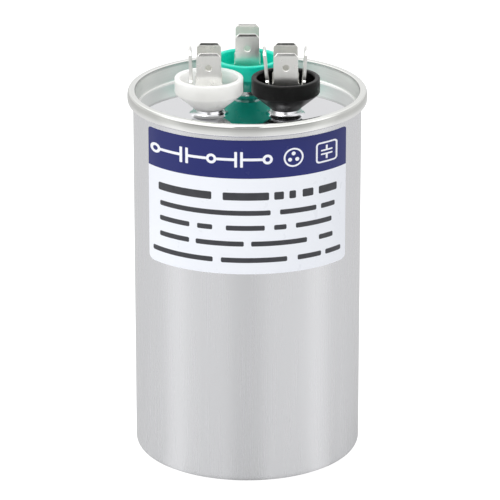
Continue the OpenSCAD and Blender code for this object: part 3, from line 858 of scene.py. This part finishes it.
def smooth(tree, value, lo, hi):
    n = tree.nodes.new("ShaderNodeMapRange")
    n.interpolation_type = "SMOOTHSTEP"
    n.inputs["From Min"].default_value = lo
    n.inputs["From Max"].default_value = hi
    tree.links.new(value, n.inputs["Value"])
    return n.outputs["Result"]


# floor
bm = bmesh.new()
bmesh.ops.create_grid(bm, x_segments=8, y_segments=8, size=3.0)
me = bpy.data.meshes.new("floor")
bm.to_mesh(me)
bm.free()
floor = bpy.data.objects.new("floor", me)
scene.collection.objects.link(floor)
fm = bpy.data.materials.new("floor_white")
fm.use_nodes = True
t = fm.node_tree
t.nodes.clear()
out = t.nodes.new("ShaderNodeOutputMaterial")
add = t.nodes.new("ShaderNodeAddShader")
dif = t.nodes.new("ShaderNodeBsdfDiffuse")
dif.inputs["Color"].default_value = (0.3, 0.3, 0.3, 1)
emi = t.nodes.new("ShaderNodeEmission")
t.links.new(dif.outputs[0], add.inputs[0])
t.links.new(emi.outputs[0], add.inputs[1])
t.links.new(add.outputs[0], out.inputs[0])
tc = t.nodes.new("ShaderNodeTexCoord")
sp = t.nodes.new("ShaderNodeSeparateXYZ")
t.links.new(tc.outputs["Object"], sp.inputs[0])
x, y = sp.outputs[0], sp.outputs[1]
ang = mnode(t, "ARCTAN2", mnode(t, "ABSOLUTE", x), mnode(t, "MULTIPLY", y, -1.0))
dist = mnode(t, "SQRT", mnode(t, "ADD", mnode(t, "MULTIPLY", x, x), mnode(t, "MULTIPLY", y, y)))
# the stripes run straight down the can: they follow the way a 60 mm cylinder mirrors the floor
turn2 = ang
for _ in range(3):
    off = mnode(t, "DIVIDE", mnode(t, "MULTIPLY", mnode(t, "SINE", mnode(t, "MULTIPLY", turn2, 0.5)), 0.03), dist)
    turn2 = mnode(t, "ADD", ang, mnode(t, "ARCSINE", mnode(t, "MINIMUM", off, 0.95)))
fac = mnode(t, "DIVIDE", turn2, math.pi)
pattern = mnode(t, "SUBTRACT", mnode(t, "MULTIPLY", az_ramp(t, fac), 2.0), 0.27)
# the front floor falls off with distance
front = mnode(t, "SUBTRACT", 1.0, smooth(t, ang, math.radians(50.0), math.radians(85.0)))
fall = mnode(t, "MULTIPLY", smooth(t, dist, 0.26, 0.52), front)
pattern = mnode(t, "MULTIPLY", pattern, mnode(t, "SUBTRACT", 1.0, mnode(t, "MULTIPLY", fall, 0.42)))
lp = t.nodes.new("ShaderNodeLightPath")
mix = t.nodes.new("ShaderNodeMix")
mix.data_type = "FLOAT"
t.links.new(lp.outputs["Is Camera Ray"], mix.inputs["Factor"])
t.links.new(pattern, mix.inputs["A"])
mix.inputs["B"].default_value = 0.9
t.links.new(mix.outputs["Result"], emi.inputs["Strength"])
floor.data.materials.append(fm)

# world: dim in front at camera height, bright at the sides, behind and overhead
world = bpy.data.worlds.new("studio")
scene.world = world
world.use_nodes = True
w = world.node_tree
bg = w.nodes["Background"]
tc = w.nodes.new("ShaderNodeTexCoord")
sp = w.nodes.new("ShaderNodeSeparateXYZ")
w.links.new(tc.outputs["Generated"], sp.inputs[0])
ang = mnode(w, "ARCTAN2", mnode(w, "ABSOLUTE", sp.outputs[0]), mnode(w, "MULTIPLY", sp.outputs[1], -1.0))
elev = mnode(w, "ARCSINE", sp.outputs[2])
aside = smooth(w, ang, math.radians(45.0), math.radians(85.0))       # 0 in front, 1 at the sides
behind = smooth(w, ang, math.radians(95.0), math.radians(150.0))
low = mnode(w, "ADD", mnode(w, "MULTIPLY_ADD", aside, 0.36, 0.45), mnode(w, "MULTIPLY", behind, 0.14))
mid = smooth(w, elev, math.radians(6.0), math.radians(12.0))
ahead = mnode(w, "SUBTRACT", 1.0, smooth(w, ang, math.radians(70.0), math.radians(110.0)))
low = mnode(w, "ADD", low, mnode(w, "MULTIPLY", mnode(w, "MULTIPLY", mid, ahead), 1.12))
up = smooth(w, elev, math.radians(16.0), math.radians(44.0))
top = mnode(w, "SUBTRACT", 1.42, mnode(w, "MULTIPLY", sp.outputs[0], 0.35))
level = mnode(w, "ADD", mnode(w, "MULTIPLY", low, mnode(w, "SUBTRACT", 1.0, up)), mnode(w, "MULTIPLY", up, top))
# the camera and its stand
de = mnode(w, "ABSOLUTE", mnode(w, "SUBTRACT", elev, math.radians(19.0)))
dark = mnode(w, "MULTIPLY",
             mnode(w, "SUBTRACT", 1.0, smooth(w, de, math.radians(5.0), math.radians(9.0))),
             mnode(w, "SUBTRACT", 1.0, smooth(w, ang, math.radians(10.0), math.radians(15.0))))
level = mnode(w, "MULTIPLY", level, mnode(w, "SUBTRACT", 1.0, mnode(w, "MULTIPLY", dark, 0.95)))
lp = w.nodes.new("ShaderNodeLightPath")
mix = w.nodes.new("ShaderNodeMix")
mix.data_type = "FLOAT"
w.links.new(lp.outputs["Is Camera Ray"], mix.inputs["Factor"])
w.links.new(level, mix.inputs["A"])
mix.inputs["B"].default_value = 1.0
w.links.new(mix.outputs["Result"], bg.inputs["Strength"])
bg.inputs["Color"].default_value = (1, 1, 1, 1)


def area(name, loc, target, size, radiance):
    d = bpy.data.lights.new(name, "AREA")
    d.shape = "RECTANGLE"
    d.size, d.size_y = size
    d.energy = radiance * math.pi * size[0] * size[1]
    o = bpy.data.objects.new(name, d)
    o.location = loc
    o.rotation_euler = (Vector(target) - Vector(loc)).to_track_quat("-Z", "Y").to_euler()
    o.visible_camera = False
    scene.collection.objects.link(o)
    return o


area("key", (-0.45, -0.75, 1.05), (0, 0, 0.09), (0.7, 0.5), 4.0)

scene.view_settings.view_transform = "Standard"
scene.view_settings.look = "None"
scene.view_settings.exposure = 0.0
scene.view_settings.gamma = 1.0
